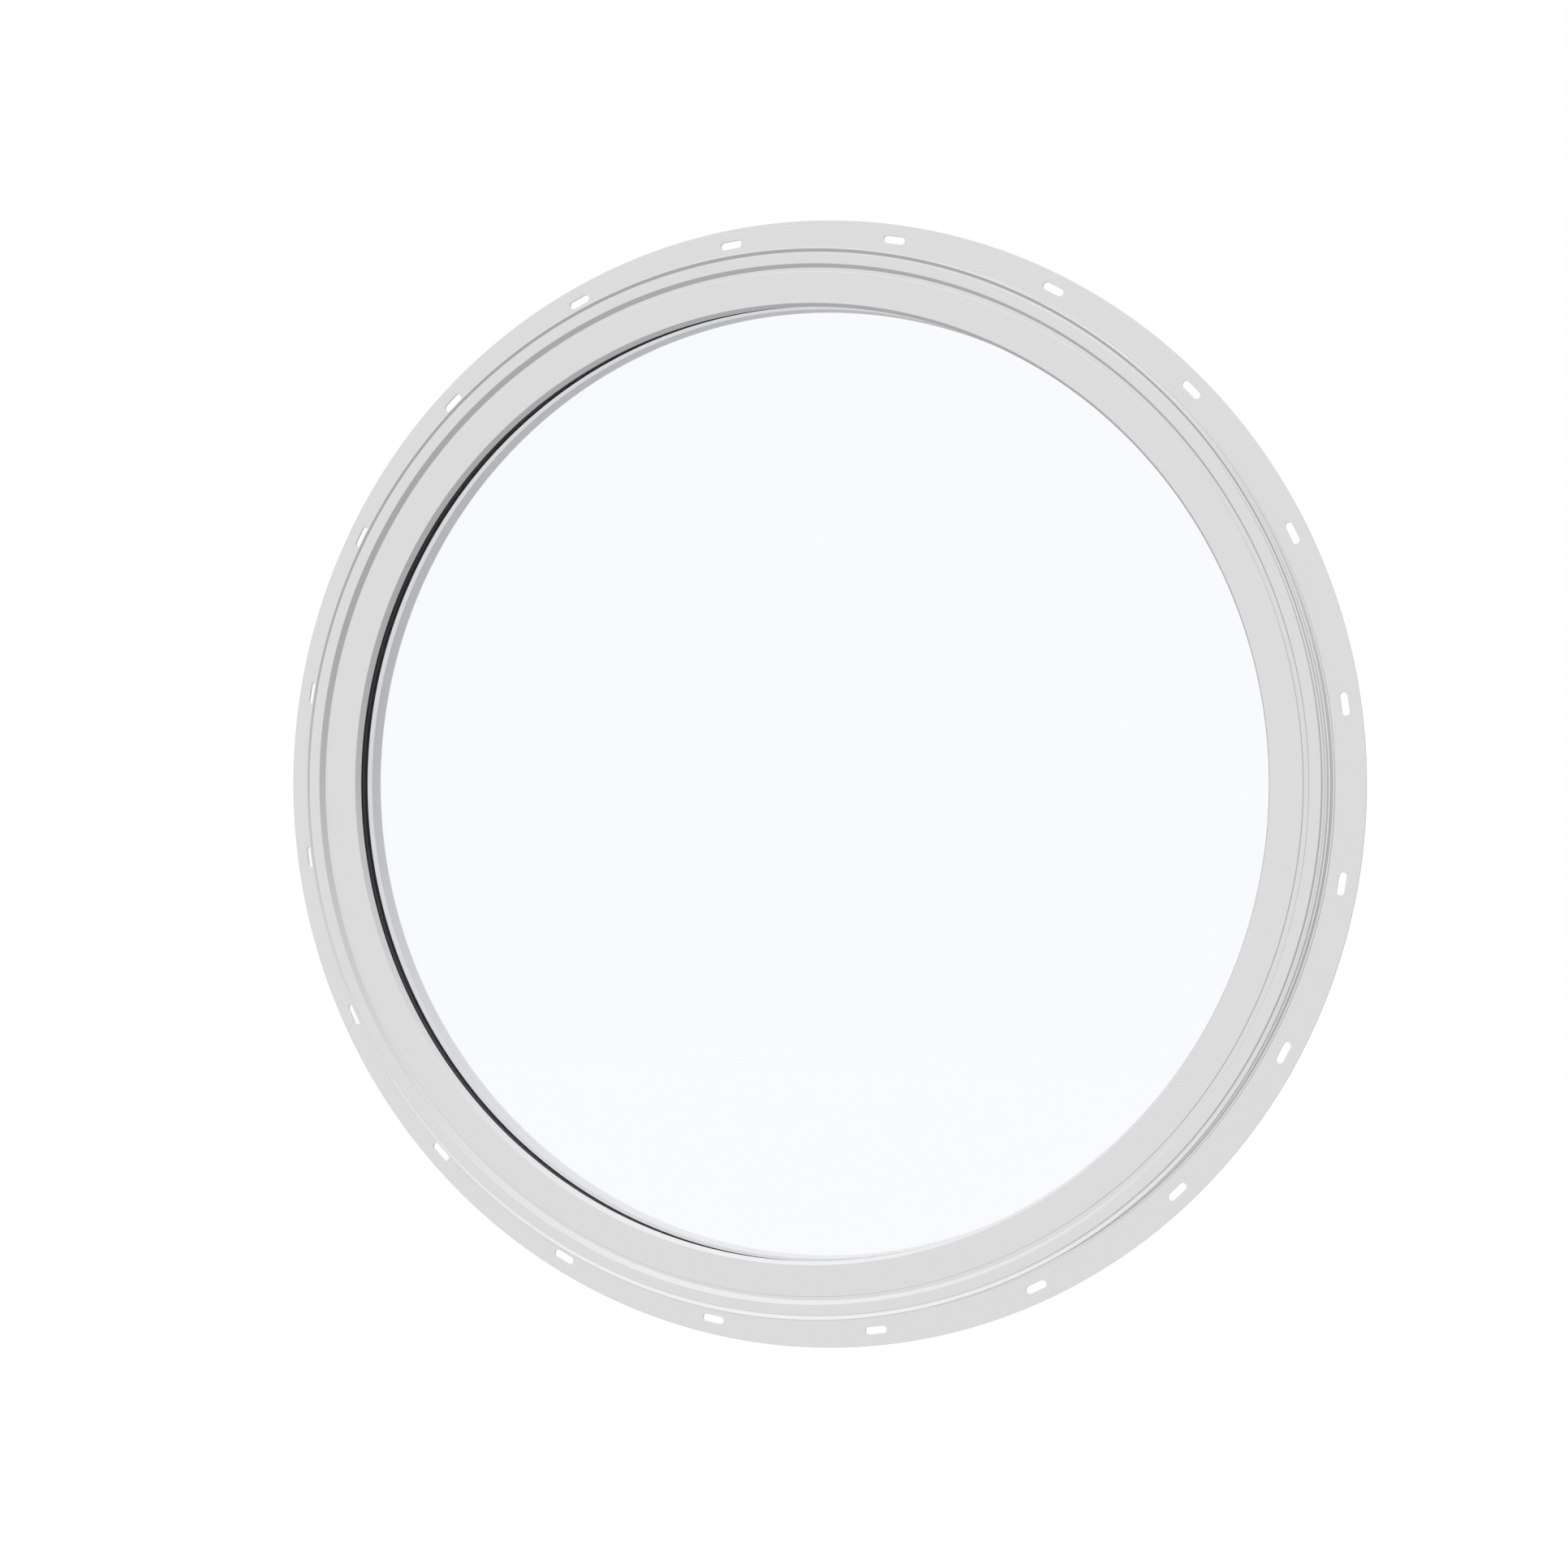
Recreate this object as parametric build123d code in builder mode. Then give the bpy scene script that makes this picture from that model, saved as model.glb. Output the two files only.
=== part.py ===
import os
from math import degrees

from build123d import *

os.makedirs("parts", exist_ok=True)

# A fixed round window: a ring of hollow vinyl with a nailing fin, a snap-in bead and a sealed double pane.
# The axis of the window is Y, the weather side faces -Y, and Z is up.
# The origin is on the axis, in the plane of the wall that the fin lies against.

# Frame, radial sizes from its outer wall inwards
frame_diameter = 911.5
body_inset = 0.75
hook_overhang = 1.6
hook_stem = 1.55
hook_draft = 0.4
hook_top_width = 1.05
lip_groove_width = 1.65
face_width = 9.65
reveal_draft = 2.0
reveal_width = 3.85
bead_seat = 3.0
slot_width = 4.0
vinyl_wall = 2.4
edge_gap = 6.0
edge_cover = 14.0
stop_setback = 0.8
stop_draft = 0.5

# Frame, depths from its front face backwards
front_reach = 34.15
hook_drop = 2.4
hook_height = 6.35
hook_slope = 3.45
notch_height = 6.45
lip_groove_depth = 7.7
reveal_depth = 8.55
bead_slot_depth = 12.0
catch_height = 3.4
catch_depth = 1.2
land_depth = 1.0
stop_depth = 17.35

# Nailing fin
fin_width = 26.85
fin_thickness = 2.4
fin_clearance = 0.15
foot_height = 4.0
foot_thickness = 1.3
nail_slot_count = 20
nail_slot_length = 19.05
nail_slot_width = 6.35
nail_slot_inset = 13.1
nail_slot_start_angle = 8.0

# Glazing bead
bead_drop = 3.85
bead_depth = 8.4
bead_draft = 2.25
bead_wall = 1.8
leg_thickness = 2.0
slot_clearance = 0.4

# Sealed double pane, its seals and its blocks
pane_thickness = 4.0
cavity_width = 14.2
spacer_setback = 2.9
sealant_depth = 4.0
gasket_thickness = 1.1
gasket_setback = 3.5
gasket_width = 5.0
tape_thickness = 1.45
tape_setback = 4.6
tape_width = 8.0
block_length = 75.0
block_clearance = 0.2
setting_block_angles = (240.0, 300.0)
edge_block_angles = (0.0, 90.0, 180.0)

# Radii that follow from the widths
frame_radius = frame_diameter / 2
body_radius = frame_radius - body_inset
fin_radius = frame_radius + fin_width
stem_outer = frame_radius - hook_overhang
stem_inner = stem_outer - hook_stem
hook_corner = frame_radius - hook_draft
hook_crest = hook_corner - hook_top_width
face_outer = stem_inner - lip_groove_width
face_inner = face_outer - face_width
reveal_outer = face_inner - reveal_draft
bead_radius = reveal_outer - reveal_width
slot_outer = bead_radius - bead_seat
slot_inner = slot_outer - slot_width
catch_radius = slot_outer + catch_depth
pocket_radius = slot_inner - vinyl_wall
unit_radius = pocket_radius - edge_gap
sight_radius = unit_radius - edge_cover
stop_front = sight_radius + stop_setback
stop_back = stop_front - stop_draft

# Levels along Y that follow from the depths, where the wall plane is zero and the front is negative
front_level = -front_reach
hook_top = front_level + hook_drop
hook_under = hook_top + hook_height
hook_slope_end = hook_top + hook_slope
shoulder = hook_under + notch_height
lip_groove_floor = front_level + lip_groove_depth
reveal_floor = front_level + reveal_depth
slot_floor = reveal_floor + bead_slot_depth
catch_level = slot_floor - catch_height
bead_front = front_level + bead_drop
bead_back = bead_front + bead_depth
outer_pane_front = bead_back + gasket_thickness
outer_pane_back = outer_pane_front + pane_thickness
inner_pane_front = outer_pane_back + cavity_width
inner_pane_back = inner_pane_front + pane_thickness
stop_face = inner_pane_back + tape_thickness
back_level = stop_face + stop_depth


# Outline of a ring's rectangular section
def ring_section(inner_radius, outer_radius, first_level, last_level):
    Polyline(
        (inner_radius, first_level),
        (outer_radius, first_level),
        (outer_radius, last_level),
        (inner_radius, last_level),
        close=True,
    )


# Frame: its whole section, with the hooked lip, the grooves and the chamber, turned round the axis
chamber_outer = face_outer - vinyl_wall
chamber_inner = catch_radius + vinyl_wall
chamber_back = back_level - vinyl_wall
with BuildPart() as frame:
    with BuildSketch(Plane.XY):
        with BuildLine():
            Polyline(
                (stop_back, back_level),
                (body_radius, back_level),
                (body_radius, land_depth),
                (frame_radius, land_depth),
                (frame_radius, shoulder),
                (stem_outer, shoulder),
                (stem_outer, hook_under),
                (frame_radius, hook_under),
                (hook_corner, hook_top),
                (hook_crest, hook_top),
                (stem_inner, hook_slope_end),
                (stem_inner, lip_groove_floor),
                (face_outer, lip_groove_floor),
                (face_outer, front_level),
                (face_inner, front_level),
                (reveal_outer, reveal_floor),
                (slot_outer, reveal_floor),
                (slot_outer, catch_level),
                (catch_radius, catch_level),
                (catch_radius, slot_floor),
                (slot_inner, slot_floor),
                (slot_inner, outer_pane_front),
                (pocket_radius, outer_pane_front),
                (pocket_radius, stop_face),
                (stop_front, stop_face),
                close=True,
            )
        make_face()
        with BuildLine():
            Polyline(
                (stop_front + vinyl_wall, chamber_back),
                (chamber_outer, chamber_back),
                (chamber_outer, reveal_floor + vinyl_wall),
                (chamber_inner, reveal_floor + vinyl_wall),
                (chamber_inner, stop_face + vinyl_wall),
                (stop_front + vinyl_wall, stop_face + vinyl_wall),
                close=True,
            )
        make_face(mode=Mode.SUBTRACT)
    revolve(axis=Axis.Y)
frame.part.label = "frame"
export_step(frame.part, "parts/frame.step")

# Nailing fin: a flat ring with a foot along the frame's wall and a circle of nail slots
fin_front = -fin_thickness
foot_inner = frame_radius + fin_clearance
foot_outer = foot_inner + foot_thickness
foot_top = fin_front - foot_height
nail_slot_radius = fin_radius - nail_slot_inset
with BuildPart() as nail_fin:
    with BuildSketch(Plane.XY):
        with BuildLine():
            Polyline(
                (foot_inner, 0),
                (fin_radius, 0),
                (fin_radius, fin_front),
                (foot_outer, fin_front),
                (foot_outer, foot_top),
                (foot_inner, foot_top),
                close=True,
            )
        make_face()
    revolve(axis=Axis.Y)
    with BuildSketch(Plane.XZ):
        with PolarLocations(nail_slot_radius, nail_slot_count, start_angle=nail_slot_start_angle):
            SlotOverall(nail_slot_length, nail_slot_width, rotation=90)
    extrude(amount=fin_thickness, both=True, mode=Mode.SUBTRACT)
nail_fin.part.label = "nail_fin"
export_step(nail_fin.part, "parts/nail_fin.step")

# Glazing bead: a drafted nose over the glass, a channel behind its face and a barbed leg in the frame's slot
nose_front = sight_radius + bead_draft
nose_outer = sight_radius + gasket_setback + gasket_width
leg_outer = slot_outer - slot_clearance
leg_inner = leg_outer - leg_thickness
leg_end = slot_floor - slot_clearance
barb_level = catch_level + slot_clearance
barb_radius = catch_radius - slot_clearance
with BuildPart() as glazing_bead:
    with BuildSketch(Plane.XY):
        with BuildLine():
            Polyline(
                (sight_radius, bead_back),
                (nose_front, bead_front),
                (bead_radius, bead_front),
                (bead_radius, reveal_floor),
                (leg_outer, reveal_floor),
                (leg_outer, barb_level),
                (barb_radius, barb_level),
                (leg_outer, leg_end),
                (leg_inner, leg_end),
                (leg_inner, bead_front + bead_wall),
                (nose_outer, bead_front + bead_wall),
                (nose_outer, bead_back),
                close=True,
            )
        make_face()
    revolve(axis=Axis.Y)
glazing_bead.part.label = "glazing_bead"
export_step(glazing_bead.part, "parts/glazing_bead.step")

# Panes of clear glass, one on each side of the cavity
with BuildPart() as outer_pane:
    with BuildSketch(Plane.XZ.offset(-outer_pane_back)):
        Circle(unit_radius)
    extrude(amount=pane_thickness)
outer_pane.part.label = "outer_pane"
export_step(outer_pane.part, "parts/outer_pane.step")

with BuildPart() as inner_pane:
    with BuildSketch(Plane.XZ.offset(-inner_pane_back)):
        Circle(unit_radius)
    extrude(amount=pane_thickness)
inner_pane.part.label = "inner_pane"
export_step(inner_pane.part, "parts/inner_pane.step")

# Foam spacer between the panes
spacer_inner = sight_radius + spacer_setback
spacer_outer = unit_radius - sealant_depth
with BuildPart() as edge_spacer:
    with BuildSketch(Plane.XY):
        with BuildLine():
            ring_section(spacer_inner, spacer_outer, outer_pane_back, inner_pane_front)
        make_face()
    revolve(axis=Axis.Y)
edge_spacer.part.label = "edge_spacer"
export_step(edge_spacer.part, "parts/edge_spacer.step")

# Sealant round the edge of the glass unit, outside the spacer
with BuildPart() as edge_sealant:
    with BuildSketch(Plane.XY):
        with BuildLine():
            ring_section(spacer_outer, unit_radius, outer_pane_back, inner_pane_front)
        make_face()
    revolve(axis=Axis.Y)
edge_sealant.part.label = "edge_sealant"
export_step(edge_sealant.part, "parts/edge_sealant.step")

# Gasket between the bead's nose and the outer pane
gasket_inner = sight_radius + gasket_setback
with BuildPart() as bead_gasket:
    with BuildSketch(Plane.XY):
        with BuildLine():
            ring_section(gasket_inner, gasket_inner + gasket_width, bead_back, outer_pane_front)
        make_face()
    revolve(axis=Axis.Y)
bead_gasket.part.label = "bead_gasket"
export_step(bead_gasket.part, "parts/bead_gasket.step")

# Bedding tape between the back stop and the inner pane
tape_inner = stop_front + tape_setback
with BuildPart() as glazing_tape:
    with BuildSketch(Plane.XY):
        with BuildLine():
            ring_section(tape_inner, tape_inner + tape_width, inner_pane_back, stop_face)
        make_face()
    revolve(axis=Axis.Y)
glazing_tape.part.label = "glazing_tape"
export_step(glazing_tape.part, "parts/glazing_tape.step")

# Setting blocks carry the glass unit, and edge blocks keep it central: arcs of one ring round its edge
block_inner = unit_radius + block_clearance
block_outer = pocket_radius - block_clearance
block_arc = degrees(block_length / block_inner)
with BuildPart() as setting_blocks:
    for block_angle in setting_block_angles:
        with BuildSketch(Plane.XY.rotated((0, -block_angle - block_arc / 2, 0))):
            with BuildLine():
                ring_section(block_inner, block_outer, outer_pane_front, inner_pane_back)
            make_face()
        revolve(axis=Axis.Y, revolution_arc=block_arc)
setting_blocks.part.label = "setting_blocks"
export_step(setting_blocks.part, "parts/setting_blocks.step")

with BuildPart() as edge_blocks:
    for block_angle in edge_block_angles:
        with BuildSketch(Plane.XY.rotated((0, -block_angle - block_arc / 2, 0))):
            with BuildLine():
                ring_section(block_inner, block_outer, outer_pane_front, inner_pane_back)
            make_face()
        revolve(axis=Axis.Y, revolution_arc=block_arc)
edge_blocks.part.label = "edge_blocks"
export_step(edge_blocks.part, "parts/edge_blocks.step")
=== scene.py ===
import math

import bpy
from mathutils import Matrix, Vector


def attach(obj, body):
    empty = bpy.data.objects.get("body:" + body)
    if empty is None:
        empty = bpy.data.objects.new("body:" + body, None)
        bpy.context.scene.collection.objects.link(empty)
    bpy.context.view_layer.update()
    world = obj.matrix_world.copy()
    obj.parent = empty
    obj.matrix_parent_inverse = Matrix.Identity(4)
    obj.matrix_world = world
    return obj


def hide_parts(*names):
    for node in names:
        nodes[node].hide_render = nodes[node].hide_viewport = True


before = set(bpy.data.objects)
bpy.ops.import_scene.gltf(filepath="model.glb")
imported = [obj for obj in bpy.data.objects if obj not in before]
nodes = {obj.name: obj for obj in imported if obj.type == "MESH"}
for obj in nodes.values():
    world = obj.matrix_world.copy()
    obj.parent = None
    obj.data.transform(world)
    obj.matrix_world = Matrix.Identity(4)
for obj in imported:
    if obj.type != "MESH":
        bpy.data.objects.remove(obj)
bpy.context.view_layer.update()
mm = 0.001
print("frame loaded:", ", ".join(sorted(nodes)))


def addNode(tree, kind, inputs=None, **settings):
    node = tree.nodes.new(kind)
    for name, value in settings.items():
        setattr(node, name, value)
    for name, value in (inputs or {}).items():
        if isinstance(value, bpy.types.NodeSocket):
            tree.links.new(value, node.inputs[name])
        else:
            node.inputs[name].default_value = value
    return node


def newTree(name, kind, inputs, outputs):
    tree = bpy.data.node_groups.new(name, kind)
    for socketName, (socketType, value) in inputs.items():
        socket = tree.interface.new_socket(socketName, in_out="INPUT", socket_type=socketType)
        if value is not None:
            socket.default_value = value
    for socketName, socketType in outputs.items():
        tree.interface.new_socket(socketName, in_out="OUTPUT", socket_type=socketType)
    return tree, tree.nodes.new("NodeGroupInput").outputs, tree.nodes.new("NodeGroupOutput").inputs


def newMaterial(name):
    material = bpy.data.materials.new(name)
    material.use_nodes = True
    return material, material.node_tree, material.node_tree.nodes["Principled BSDF"]


# shader group: faint lines that run round the ring, as an extrusion die leaves them, and a fine grain
def ringGrainGroup():
    tree, given, result = newTree("ringGrain", "ShaderNodeTree", {
        "Line Density": ("NodeSocketFloat", 700.0),      # per metre, across the section
        "Grain Density": ("NodeSocketFloat", 900.0),      # per metre
    }, {"Lines": "NodeSocketFloat", "Grain": "NodeSocketFloat"})
    drift = 0.004      # how little the lines change along the ring
    place = addNode(tree, "ShaderNodeTexCoord").outputs["Object"]
    axes = addNode(tree, "ShaderNodeSeparateXYZ", {0: place}).outputs
    flat = addNode(tree, "ShaderNodeCombineXYZ", {"X": axes["X"], "Y": axes["Z"]}).outputs[0]
    radius = addNode(tree, "ShaderNodeVectorMath", {0: flat}, operation="LENGTH").outputs["Value"]
    around = addNode(tree, "ShaderNodeMath", {0: axes["X"], 1: axes["Z"]}, operation="ADD").outputs[0]
    slow = addNode(tree, "ShaderNodeMath", {0: around, 1: drift}, operation="MULTIPLY").outputs[0]
    section = addNode(tree, "ShaderNodeCombineXYZ", {"X": radius, "Y": axes["Y"], "Z": slow}).outputs[0]
    lines = addNode(tree, "ShaderNodeTexNoise", {
        "Vector": section, "Scale": given["Line Density"], "Detail": 2.0})
    grain = addNode(tree, "ShaderNodeTexNoise", {
        "Vector": place, "Scale": given["Grain Density"], "Detail": 3.0})
    tree.links.new(lines.outputs[0], result["Lines"])
    tree.links.new(grain.outputs[0], result["Grain"])
    return tree


ringGrain = ringGrainGroup()
noiseLow, noiseHigh = 0.3, 0.7      # the noise hardly leaves this range
bumpDepth = 0.1 * mm


# painted highlight: a paler line round the ring, at one depth, standing in for the light that catches the
# spacer's rib
def addPaintedHighlight(tree, colour, paintedHighlight):
    place = addNode(tree, "ShaderNodeTexCoord").outputs["Object"]
    depth = addNode(tree, "ShaderNodeSeparateXYZ", {0: place}).outputs["Y"]
    away = addNode(tree, "ShaderNodeMath", {0: depth, 1: -paintedHighlight["depth"] * mm}, operation="ADD").outputs[0]
    gap = addNode(tree, "ShaderNodeMath", {0: away}, operation="ABSOLUTE").outputs[0]
    share = addNode(tree, "ShaderNodeMapRange", {
        "Value": gap, "From Min": 0.0, "From Max": paintedHighlight["width"] * mm, "To Min": 1.0, "To Max": 0.0},
        interpolation_type="SMOOTHSTEP").outputs[0]
    return addNode(tree, "ShaderNodeMixRGB", {0: share, 1: colour, 2: (*paintedHighlight["tone"], 1)}).outputs[0]


def finish(name, look):
    material, tree, shader = newMaterial(name)
    group = addNode(tree, "ShaderNodeGroup", node_tree=ringGrain)
    group.inputs["Line Density"].default_value = look["lines"]
    group.inputs["Grain Density"].default_value = look["grain"]
    lines, grain = group.outputs["Lines"], group.outputs["Grain"]
    ramp = addNode(tree, "ShaderNodeValToRGB", {0: grain})
    first, last = ramp.color_ramp.elements
    first.position, last.position = noiseLow, noiseHigh
    first.color, last.color = (*look["low"], 1), (*look["high"], 1)
    rough = addNode(tree, "ShaderNodeMapRange", {
        "Value": lines, "From Min": noiseLow, "From Max": noiseHigh,
        "To Min": look["rough"][0], "To Max": look["rough"][1]})
    height = addNode(tree, "ShaderNodeMath", {0: lines, 1: look["lineShare"], 2: grain}, operation="MULTIPLY_ADD")
    bump = addNode(tree, "ShaderNodeBump", {
        "Height": height.outputs[0], "Strength": look["bump"], "Distance": bumpDepth})
    colour = ramp.outputs[0]
    # a painted highlight, where the look has one, lightens the colour in a band at one depth
    if "paintedHighlight" in look:
        colour = addPaintedHighlight(tree, colour, look["paintedHighlight"])
    tree.links.new(colour, shader.inputs["Base Color"])
    tree.links.new(rough.outputs[0], shader.inputs["Roughness"])
    tree.links.new(bump.outputs[0], shader.inputs["Normal"])
    shader.inputs["Specular IOR Level"].default_value = look["gloss"]
    return material


satinVinyl = finish("satinVinyl", {
    "low": (0.69, 0.69, 0.69), "high": (0.72, 0.72, 0.72), "rough": (0.52, 0.62),
    "lines": 700, "grain": 900, "lineShare": 1.5, "bump": 0.12, "gloss": 0.3})
# black foam with a painted highlight: a paler band along the rib, standing in for the light it catches
spacerFoam = finish("spacerFoam", {
    "low": (0.005, 0.005, 0.006), "high": (0.011, 0.011, 0.012), "rough": (0.7, 0.85),
    "lines": 900, "grain": 2600, "lineShare": 0.2, "bump": 0.5, "gloss": 0.06,
    "paintedHighlight": {"depth": -11.2, "width": 3.2, "tone": (0.062, 0.063, 0.065)}})
blackButyl = finish("blackButyl", {
    "low": (0.012, 0.012, 0.012), "high": (0.024, 0.024, 0.024), "rough": (0.35, 0.5),
    "lines": 300, "grain": 500, "lineShare": 0.6, "bump": 0.6, "gloss": 0.5})
softGasket = finish("softGasket", {
    "low": (0.56, 0.56, 0.55), "high": (0.62, 0.62, 0.61), "rough": (0.5, 0.62),
    "lines": 1500, "grain": 1500, "lineShare": 1.0, "bump": 0.2, "gloss": 0.4})
foamTape = finish("foamTape", {
    "low": (0.64, 0.64, 0.63), "high": (0.74, 0.74, 0.73), "rough": (0.8, 0.92),
    "lines": 900, "grain": 3200, "lineShare": 0.1, "bump": 0.6, "gloss": 0.2})
hardRubber = finish("hardRubber", {
    "low": (0.03, 0.03, 0.03), "high": (0.05, 0.05, 0.05), "rough": (0.55, 0.7),
    "lines": 400, "grain": 1800, "lineShare": 0.3, "bump": 0.4, "gloss": 0.4})


def paneGlass(name, look):
    material, tree, shader = newMaterial(name)
    group = addNode(tree, "ShaderNodeGroup", node_tree=ringGrain)
    group.inputs["Grain Density"].default_value = look["waves"]
    rough = addNode(tree, "ShaderNodeMapRange", {
        "Value": group.outputs["Grain"], "To Min": 0.0, "To Max": look["rough"]})
    tree.links.new(rough.outputs[0], shader.inputs["Roughness"])
    shader.inputs["Base Color"].default_value = (*look["tint"], 1)
    shader.inputs["Transmission Weight"].default_value = look["clear"]      # the rest is a faint haze
    shader.inputs["IOR"].default_value = look["ior"]
    shader.inputs["Coat Weight"].default_value = look["coat"]      # reflects without bending what lies behind
    shader.inputs["Coat Roughness"].default_value = 0.0
    rays = addNode(tree, "ShaderNodeLightPath").outputs      # light reaches what lies behind the pane
    soft = addNode(tree, "ShaderNodeMath", {0: rays["Is Shadow Ray"], 1: rays["Is Diffuse Ray"]},
                   operation="MAXIMUM").outputs[0]
    through = addNode(tree, "ShaderNodeBsdfTransparent", {"Color": (1, 1, 1, 1)}).outputs[0]
    mixed = addNode(tree, "ShaderNodeMixShader", {0: soft, 1: shader.outputs[0], 2: through})
    tree.links.new(mixed.outputs[0], tree.nodes["Material Output"].inputs["Surface"])
    return material


# waves per metre of the roller, well under what the eye sees
outerGlass = paneGlass("outerGlass", {
    "tint": (0.97, 0.978, 0.993), "clear": 1.0, "ior": 1.02, "coat": 0.16, "waves": 14, "rough": 0.004})
innerGlass = paneGlass("innerGlass", {
    "tint": (0.97, 0.978, 0.993), "clear": 0.94, "ior": 1.2, "coat": 0.2, "waves": 14, "rough": 0.004})
print("materials made")


# geometry nodes: round the corners of a section and sweep it round the window's axis
def sweepNodes(tree, section, given):
    rounded = addNode(tree, "GeometryNodeFilletCurve", {
        "Curve": section, "Count": given["Edge Steps"], "Radius": given["Edge Radius"], "Limit Radius": True},
        mode="POLY")
    inward = addNode(tree, "ShaderNodeMath", {0: given["Path Radius"], 1: -1.0}, operation="MULTIPLY")
    shift = addNode(tree, "ShaderNodeCombineXYZ", {"X": inward.outputs[0]})
    local = addNode(tree, "GeometryNodeTransform", {
        "Geometry": rounded.outputs[0], "Translation": shift.outputs[0]})
    circle = addNode(tree, "GeometryNodeCurvePrimitiveCircle", {
        "Resolution": given["Segments"], "Radius": given["Path Radius"]})
    path = addNode(tree, "GeometryNodeSetCurveNormal", {"Curve": circle.outputs[0]}, mode="Z_UP")
    swept = addNode(tree, "GeometryNodeCurveToMesh", {
        "Curve": path.outputs[0], "Profile Curve": local.outputs[0]})
    return swept.outputs[0]


# the trees work flat, so the ring is stood up at the end
def closeTree(tree, given, result, geometry):
    upright = addNode(tree, "GeometryNodeTransform", {
        "Geometry": geometry, "Rotation": (math.radians(90), 0, 0)})
    smooth = addNode(tree, "GeometryNodeSetShadeSmooth", {"Geometry": upright.outputs[0]})
    real = addNode(tree, "GeometryNodeRealizeInstances", {"Geometry": smooth.outputs[0]})
    painted = addNode(tree, "GeometryNodeSetMaterial", {
        "Geometry": real.outputs[0], "Material": given["Material"]})
    tree.links.new(painted.outputs[0], result["Geometry"])


sweepInputs = {
    "Geometry": ("NodeSocketGeometry", None),
    "Path Radius": ("NodeSocketFloat", 0.45),
    "Segments": ("NodeSocketInt", 432),
    "Edge Radius": ("NodeSocketFloat", 0.0003),
    "Edge Steps": ("NodeSocketInt", 3),
    "Material": ("NodeSocketMaterial", None),
}
treeOutputs = {"Geometry": "NodeSocketGeometry"}


def sweptRingTree():
    tree, given, result = newTree("sweptRing", "GeometryNodeTree", sweepInputs, treeOutputs)
    section = addNode(tree, "GeometryNodeMeshToCurve", {"Mesh": given["Geometry"]})
    closeTree(tree, given, result, sweepNodes(tree, section.outputs[0], given))
    return tree


def sweepValues(ring, material):
    return {
        "Path Radius": ring["pathRadius"] * mm, "Segments": ring["segments"],
        "Edge Radius": ring["edgeRadius"] * mm, "Edge Steps": ring["edgeSteps"], "Material": material,
    }


def sectionMesh(name, section):
    turn = sum(a[0] * b[1] - b[0] * a[1] for a, b in zip(section, section[1:] + section[:1]))
    ordered = section if turn > 0 else section[::-1]      # anticlockwise, so the swept faces point outwards
    corners = [(radius * mm, depth * mm, 0) for radius, depth in ordered]
    edges = [(i, (i + 1) % len(corners)) for i in range(len(corners))]
    mesh = bpy.data.meshes.new(name)
    mesh.from_pydata(corners, edges, [])
    return mesh


def growPiece(name, section, tree, values, bevel=None):
    piece = bpy.data.objects.new(name, sectionMesh(name, section))
    bpy.context.scene.collection.objects.link(piece)
    modifier = piece.modifiers.new(tree.name, "NODES")
    modifier.node_group = tree
    for socket in tree.interface.items_tree:
        if socket.in_out == "INPUT" and socket.name in values:
            modifier[socket.identifier] = values[socket.name]
    if bevel:
        edge = piece.modifiers.new("softEdges", "BEVEL")
        edge.width, edge.segments = bevel["width"] * mm, bevel["steps"]
        edge.angle_limit = math.radians(bevel["angle"])
    even = piece.modifiers.new("evenNormals", "WEIGHTED_NORMAL")      # flat faces stay flat beside round edges
    even.weight = 50
    mesh = bpy.data.meshes.new_from_object(piece.evaluated_get(bpy.context.evaluated_depsgraph_get()))
    piece.modifiers.clear()
    mesh.materials.clear()
    mesh.materials.append(values["Material"])
    mesh.polygons.foreach_set("material_index", [0] * len(mesh.polygons))
    piece.data = mesh
    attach(piece, "root")
    print(name, len(mesh.polygons), "faces")
    return piece


sweptRing = sweptRingTree()

# frame: section in mm as radius and depth, weather side negative
frameRing = {
    "section": [
        (406.35, 20.2), (455.0, 20.2), (455.0, 1.0), (455.75, 1.0), (455.75, -18.95),      # stop and body
        (454.15, -18.95), (454.15, -25.4), (455.75, -25.4),      # notch
        (455.35, -31.75), (454.3, -31.75),      # hooked lip
        (452.6, -28.3), (452.6, -26.45), (450.95, -26.45),      # groove behind the lip
        (450.95, -34.15), (441.3, -34.15), (439.3, -25.6),      # front face and reveal
        (432.45, -25.6), (432.45, -17.0), (433.65, -17.0), (433.65, -13.6), (428.45, -13.6),      # bead slot
        (428.45, -20.8), (426.05, -20.8), (426.05, 2.85), (406.85, 2.85),      # glazing pocket
    ],
    "pathRadius": 430, "edgeRadius": 0.35, "edgeSteps": 3, "segments": 432,
}
frameBody = growPiece("frameBody", frameRing["section"], sweptRing, sweepValues(frameRing, satinVinyl))
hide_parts("frame")

# glazing bead
beadRing = {
    "section": [
        (406.05, -21.9), (408.3, -30.3), (435.45, -30.3), (435.45, -25.6),      # nose and face
        (432.05, -25.6), (432.05, -16.6), (433.25, -16.6), (432.05, -14.0), (430.05, -14.0),      # barbed leg
        (430.05, -28.5), (414.55, -28.5), (414.55, -21.9),      # channel behind the face
    ],
    "pathRadius": 420, "edgeRadius": 0.45, "edgeSteps": 3, "segments": 432,
}
beadBody = growPiece("beadBody", beadRing["section"], sweptRing, sweepValues(beadRing, satinVinyl))
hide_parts("glazing_bead")


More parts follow.
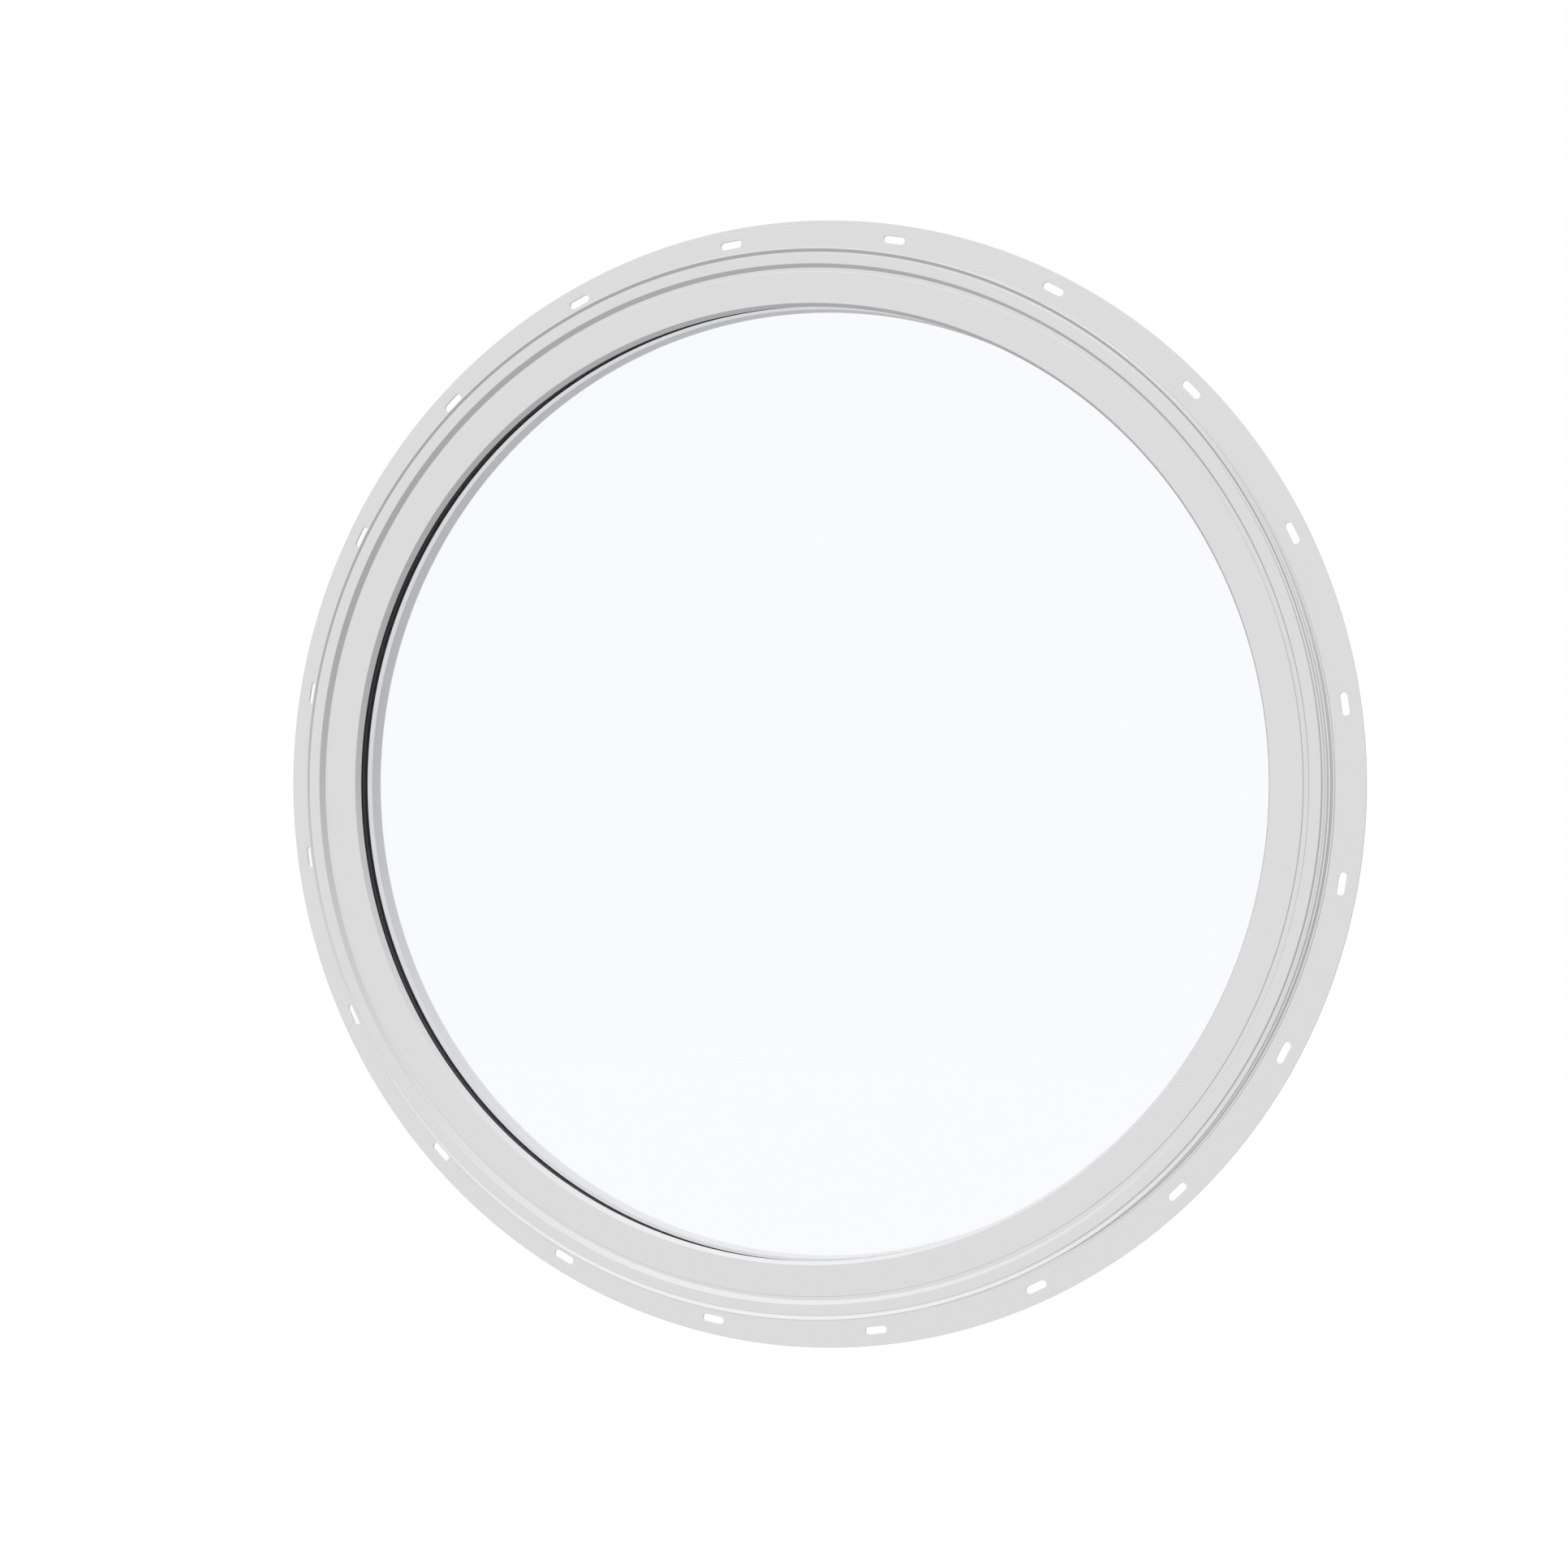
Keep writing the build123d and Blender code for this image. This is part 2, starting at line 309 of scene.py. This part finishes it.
# nailing fin: a flat ring filled between two circles and the slots, and its foot swept as the frame is
def slottedFinTree():
    tree, given, result = newTree("slottedFin", "GeometryNodeTree", {
        **sweepInputs,
        "Inner Radius": ("NodeSocketFloat", 0.4559),
        "Outer Radius": ("NodeSocketFloat", 0.4826),
        "Thickness": ("NodeSocketFloat", 0.0024),
        "Slot Count": ("NodeSocketInt", 20),
        "Slot Circle": ("NodeSocketFloat", 0.4695),
        "Slot Width": ("NodeSocketFloat", 0.00635),
        "Slot Length": ("NodeSocketFloat", 0.01905),
        "First Slot": ("NodeSocketFloat", 0.14),
    }, treeOutputs)
    roundShare = 0.4999      # just under half the width, so that the slot's two arcs stay apart
    roundSteps = 10
    weldGap = 0.01 * mm
    section = addNode(tree, "GeometryNodeMeshToCurve", {"Mesh": given["Geometry"]})
    foot = sweepNodes(tree, section.outputs[0], given)
    rims = [addNode(tree, "GeometryNodeCurvePrimitiveCircle", {
        "Resolution": given["Segments"], "Radius": given[rim]}) for rim in ("Inner Radius", "Outer Radius")]
    blank = addNode(tree, "GeometryNodeCurvePrimitiveQuadrilateral", {
        "Width": given["Slot Width"], "Height": given["Slot Length"]})
    half = addNode(tree, "ShaderNodeMath", {0: given["Slot Width"], 1: roundShare}, operation="MULTIPLY")
    slot = addNode(tree, "GeometryNodeFilletCurve", {
        "Curve": blank.outputs[0], "Count": roundSteps, "Radius": half.outputs[0], "Limit Radius": True},
        mode="POLY")
    places = addNode(tree, "GeometryNodeCurvePrimitiveCircle", {
        "Resolution": given["Slot Count"], "Radius": given["Slot Circle"]})
    start = addNode(tree, "ShaderNodeCombineXYZ", {"Z": given["First Slot"]})
    turned = addNode(tree, "GeometryNodeTransform", {
        "Geometry": places.outputs[0], "Rotation": start.outputs[0]})
    points = addNode(tree, "GeometryNodeCurveToPoints", {"Curve": turned.outputs[0]}, mode="EVALUATED")
    index = addNode(tree, "GeometryNodeInputIndex").outputs[0]
    step = addNode(tree, "ShaderNodeMath", {0: math.tau, 1: given["Slot Count"]}, operation="DIVIDE")
    angle = addNode(tree, "ShaderNodeMath", {0: index, 1: step.outputs[0], 2: given["First Slot"]},
                    operation="MULTIPLY_ADD")
    spin = addNode(tree, "ShaderNodeCombineXYZ", {"Z": angle.outputs[0]})
    slots = addNode(tree, "GeometryNodeInstanceOnPoints", {
        "Points": points.outputs[0], "Instance": slot.outputs[0], "Rotation": spin.outputs[0]})
    loose = addNode(tree, "GeometryNodeRealizeInstances", {"Geometry": slots.outputs[0]})
    outline = addNode(tree, "GeometryNodeJoinGeometry")
    for part in (*rims, loose):
        tree.links.new(part.outputs[0], outline.inputs[0])
    face = addNode(tree, "GeometryNodeFillCurve", {"Curve": outline.outputs[0]}, mode="TRIANGLES")
    lift = addNode(tree, "ShaderNodeCombineXYZ", {"Z": given["Thickness"]})
    walls = addNode(tree, "GeometryNodeExtrudeMesh", {
        "Mesh": face.outputs[0], "Offset": lift.outputs[0], "Offset Scale": 1.0, "Individual": False},
        mode="FACES")
    under = addNode(tree, "GeometryNodeFlipFaces", {"Mesh": face.outputs[0]})
    plate = addNode(tree, "GeometryNodeJoinGeometry")
    for part in (walls, under):
        tree.links.new(part.outputs[0], plate.inputs[0])
    welded = addNode(tree, "GeometryNodeMergeByDistance", {"Geometry": plate.outputs[0], "Distance": weldGap})
    whole = addNode(tree, "GeometryNodeJoinGeometry")
    for part in (welded.outputs[0], foot):
        tree.links.new(part, whole.inputs[0])
    closeTree(tree, given, result, whole.outputs[0])
    return tree


nailFin = {
    "innerRadius": 455.9, "outerRadius": 482.6, "thickness": 2.4,
    "slotCount": 20, "slotCircle": 469.5, "slotWidth": 6.35, "slotLength": 19.05, "firstSlot": 8.0,
    "foot": [(455.9, -2.0), (457.2, -2.0), (457.2, -6.4), (455.9, -6.4)],
    "pathRadius": 456, "edgeRadius": 0.25, "edgeSteps": 3, "segments": 432,
    "softEdge": {"width": 0.2, "steps": 2, "angle": 40},
}
finBody = growPiece("finBody", nailFin["foot"], slottedFinTree(), {
    **sweepValues(nailFin, satinVinyl),
    "Inner Radius": nailFin["innerRadius"] * mm, "Outer Radius": nailFin["outerRadius"] * mm,
    "Thickness": nailFin["thickness"] * mm, "Slot Count": nailFin["slotCount"],
    "Slot Circle": nailFin["slotCircle"] * mm, "Slot Width": nailFin["slotWidth"] * mm,
    "Slot Length": nailFin["slotLength"] * mm, "First Slot": math.radians(nailFin["firstSlot"]),
}, bevel=nailFin["softEdge"])
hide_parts("nail_fin")

# spacer between the panes, with a shallow rib along its sight face
spacerRing = {
    "section": [
        (416.05, -16.8), (408.95, -16.8),
        (408.95, -12.7), (408.7, -12.3), (408.7, -9.7), (408.95, -9.3),      # rib
        (408.95, -2.6), (416.05, -2.6),
    ],
    "pathRadius": 410, "edgeRadius": 0.15, "edgeSteps": 2, "segments": 432,
}
spacerBody = growPiece("spacerBody", spacerRing["section"], sweptRing,
                       sweepValues(spacerRing, spacerFoam))
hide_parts("edge_spacer")

# the nodes that keep their own shape get their finish
for nodeName, material in {
    "outer_pane": outerGlass, "inner_pane": innerGlass, "edge_sealant": blackButyl, "bead_gasket": softGasket,
    "glazing_tape": foamTape, "setting_blocks": hardRubber, "edge_blocks": hardRubber,
}.items():
    nodes[nodeName].data.materials.clear()
    nodes[nodeName].data.materials.append(material)
for piece in (frameBody, beadBody, finBody, spacerBody, *nodes.values()):
    piece.visible_diffuse = False      # the deep rings keep the even light of the room on each other's steps
print("pieces finished")

# camera: a little to the right of the window and level with its middle
viewPoint = {"place": (0.94, -2.8864, 0.0), "target": (0.0, -0.054, 0.0), "lens": 81.24, "sensor": 36}
cameraData = bpy.data.cameras.new("photoView")
cameraData.lens, cameraData.sensor_width = viewPoint["lens"], viewPoint["sensor"]
camera = bpy.data.objects.new("photoView", cameraData)
camera.location = viewPoint["place"]
camera.rotation_euler = (Vector(viewPoint["target"]) - camera.location).to_track_quat("-Z", "Y").to_euler()
bpy.context.scene.collection.objects.link(camera)
bpy.context.scene.camera = camera

# light: an even pale room, and a floor that is white to the camera and darker to the light it sends back
studio = {"ambient": 0.535, "background": 1.0, "floorLevel": -0.9, "floorSize": 16.0,
          "floorTone": 0.52, "floorSeen": 0.953}


def seesBackdrop(tree):      # 1 for what the camera sees itself, in a reflection or through glass
    rays = addNode(tree, "ShaderNodeLightPath").outputs
    seen = rays["Is Camera Ray"]
    for ray in ("Is Glossy Ray", "Is Transmission Ray"):
        seen = addNode(tree, "ShaderNodeMath", {0: seen, 1: rays[ray]}, operation="MAXIMUM").outputs[0]
    first = addNode(tree, "ShaderNodeMath", {0: rays["Diffuse Depth"], 1: 0.5}, operation="LESS_THAN").outputs[0]
    return addNode(tree, "ShaderNodeMath", {0: seen, 1: first}, operation="MULTIPLY").outputs[0]


world = bpy.data.worlds.new("paleRoom")
bpy.context.scene.world = world
world.use_nodes = True
background = world.node_tree.nodes["Background"]
background.inputs["Color"].default_value = (1, 1, 1, 1)
level = addNode(world.node_tree, "ShaderNodeMapRange", {
    "Value": seesBackdrop(world.node_tree), "To Min": studio["ambient"], "To Max": studio["background"]})
world.node_tree.links.new(level.outputs[0], background.inputs["Strength"])

floorMesh = bpy.data.meshes.new("floor")
reach = studio["floorSize"] / 2
floorMesh.from_pydata([(x * reach, y * reach, studio["floorLevel"])
                       for x, y in ((-1, -1), (1, -1), (1, 1), (-1, 1))], [], [(0, 1, 2, 3)])
floor = bpy.data.objects.new("floor", floorMesh)
bpy.context.scene.collection.objects.link(floor)
floorPaint, floorTree, floorShader = newMaterial("floorPaint")
floorShader.inputs["Roughness"].default_value = 1
floorShader.inputs["Specular IOR Level"].default_value = 0
tone = addNode(floorTree, "ShaderNodeMapRange", {
    "Value": seesBackdrop(floorTree), "To Min": studio["floorTone"], "To Max": studio["floorSeen"]})
floorTree.links.new(tone.outputs[0], floorShader.inputs["Base Color"])
floorMesh.materials.append(floorPaint)

# lamps: soft ones above the front and the back, and one that throws the shadow on the floor
lampSpread = 30.0
lamps = {
    "frontLamp": {"energy": 2.36, "height": 52.4, "shadow": False, "mirrored": True, "floor": "EXCLUDE"},
    "backLamp": {"energy": 1.05, "height": 168.0, "shadow": True, "mirrored": False, "floor": "EXCLUDE"},
    "floorLamp": {"energy": 1.65, "height": 80.0, "shadow": True, "mirrored": True, "floor": "INCLUDE"},
}
for name, look in lamps.items():
    lampData = bpy.data.lights.new(name, "SUN")
    lampData.energy, lampData.angle = look["energy"], math.radians(lampSpread)
    lampData.use_shadow = look["shadow"]
    lamp = bpy.data.objects.new(name, lampData)
    lamp.rotation_euler = (math.radians(90 - look["height"]), 0, 0)
    lamp.visible_glossy = lamp.visible_transmission = look["mirrored"]      # or its disc shows in the glass
    bpy.context.scene.collection.objects.link(lamp)
    lit = bpy.data.collections.new(name + "Lights")
    lit.objects.link(floor)
    lit.collection_objects[0].light_linking.link_state = look["floor"]
    lamp.light_linking.receiver_collection = lit

bpy.context.scene.view_settings.view_transform = "Standard"
print("camera, light and floor set")
